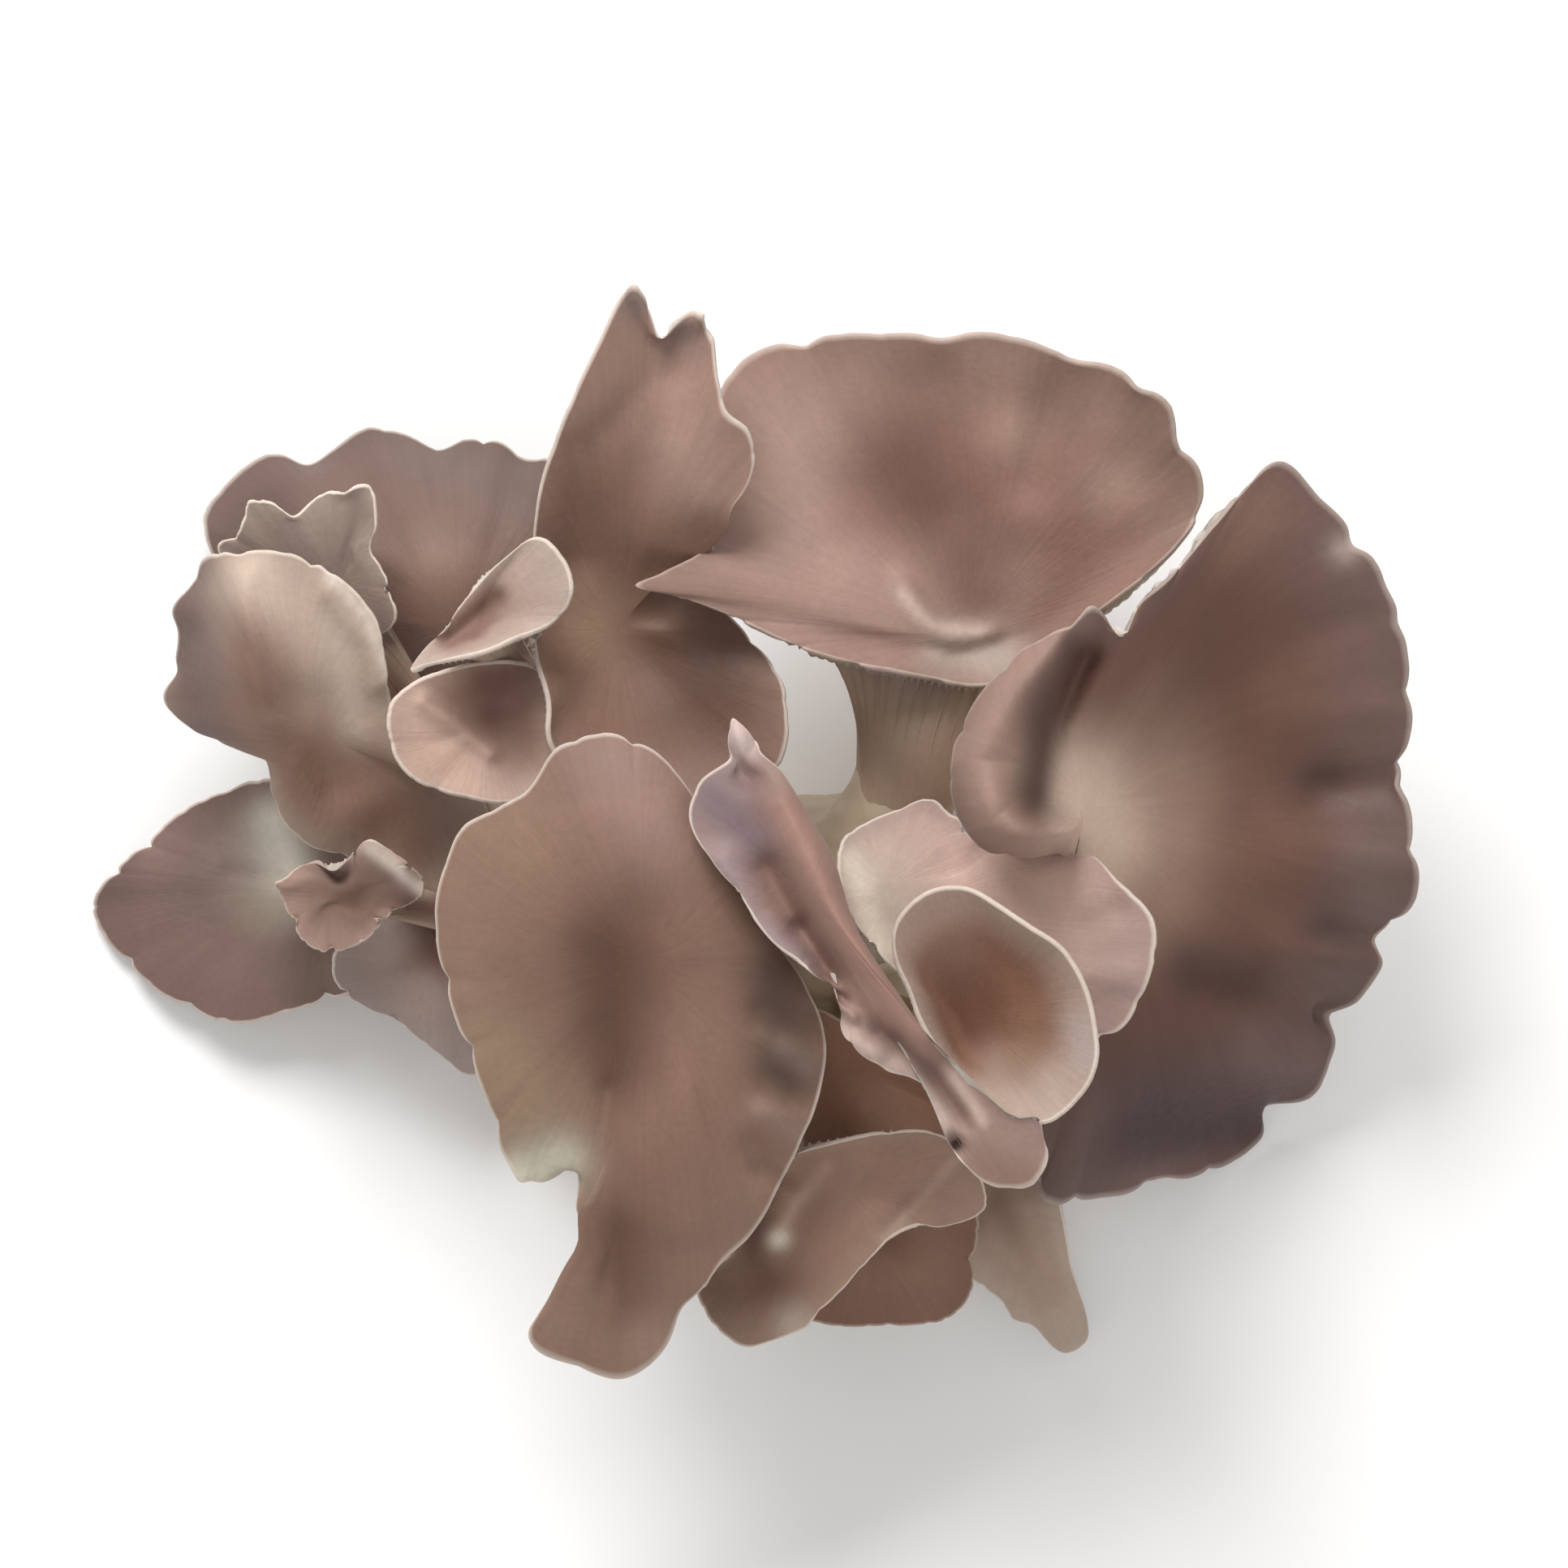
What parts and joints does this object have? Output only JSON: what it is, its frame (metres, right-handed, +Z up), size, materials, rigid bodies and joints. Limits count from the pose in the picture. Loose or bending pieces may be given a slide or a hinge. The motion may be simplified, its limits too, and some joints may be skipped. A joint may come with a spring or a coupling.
{
  "type": "mushroom",
  "caption": "A natural cluster of oyster mushrooms: pinkish brown, wavy overlapping caps with pale thin rims on short stems grown from one pale cut base.",
  "frame": {"origin": "bottom centre of the bounding box, on the surface that the cut base stands on", "axes": "+X runs along the cluster's longest extent, toward the largest dark cap; +Y runs toward the tall upright lobe; +Z is up, out of the cut base through the caps"},
  "size_m": [0.2108, 0.171, 0.0835],
  "materials": {
    "dark_caps": "satin dark brown mushroom skin, slightly velvety",
    "brown_caps": "satin warm brown mushroom skin, slightly velvety",
    "mauve_caps": "satin pinkish mauve brown mushroom skin",
    "pale_caps": "satin pale beige mushroom skin",
    "base_flesh": "matt pale fibrous mushroom flesh"
  },
  "bodies": {
    "root": {"right_cap": "dark_caps", "top_right_cap": "mauve_caps", "top_centre_cap": "brown_caps", "front_cap": "brown_caps", "ruffled_fold": "mauve_caps", "centre_right_cap": "pale_caps", "round_cap": "brown_caps", "upper_left_cap": "mauve_caps", "left_fold_cap": "brown_caps", "frilled_cap": "pale_caps", "spoon_cap": "pale_caps", "shell_cap": "brown_caps", "left_cap": "mauve_caps", "knotted_cap": "pale_caps", "lower_left_cap": "pale_caps", "bottom_lobe_cap": "brown_caps", "under_centre_cap": "dark_caps", "bottom_cap": "brown_caps", "bottom_right_cap": "pale_caps", "shared_base": "base_flesh"}
  },
  "joints": []
}
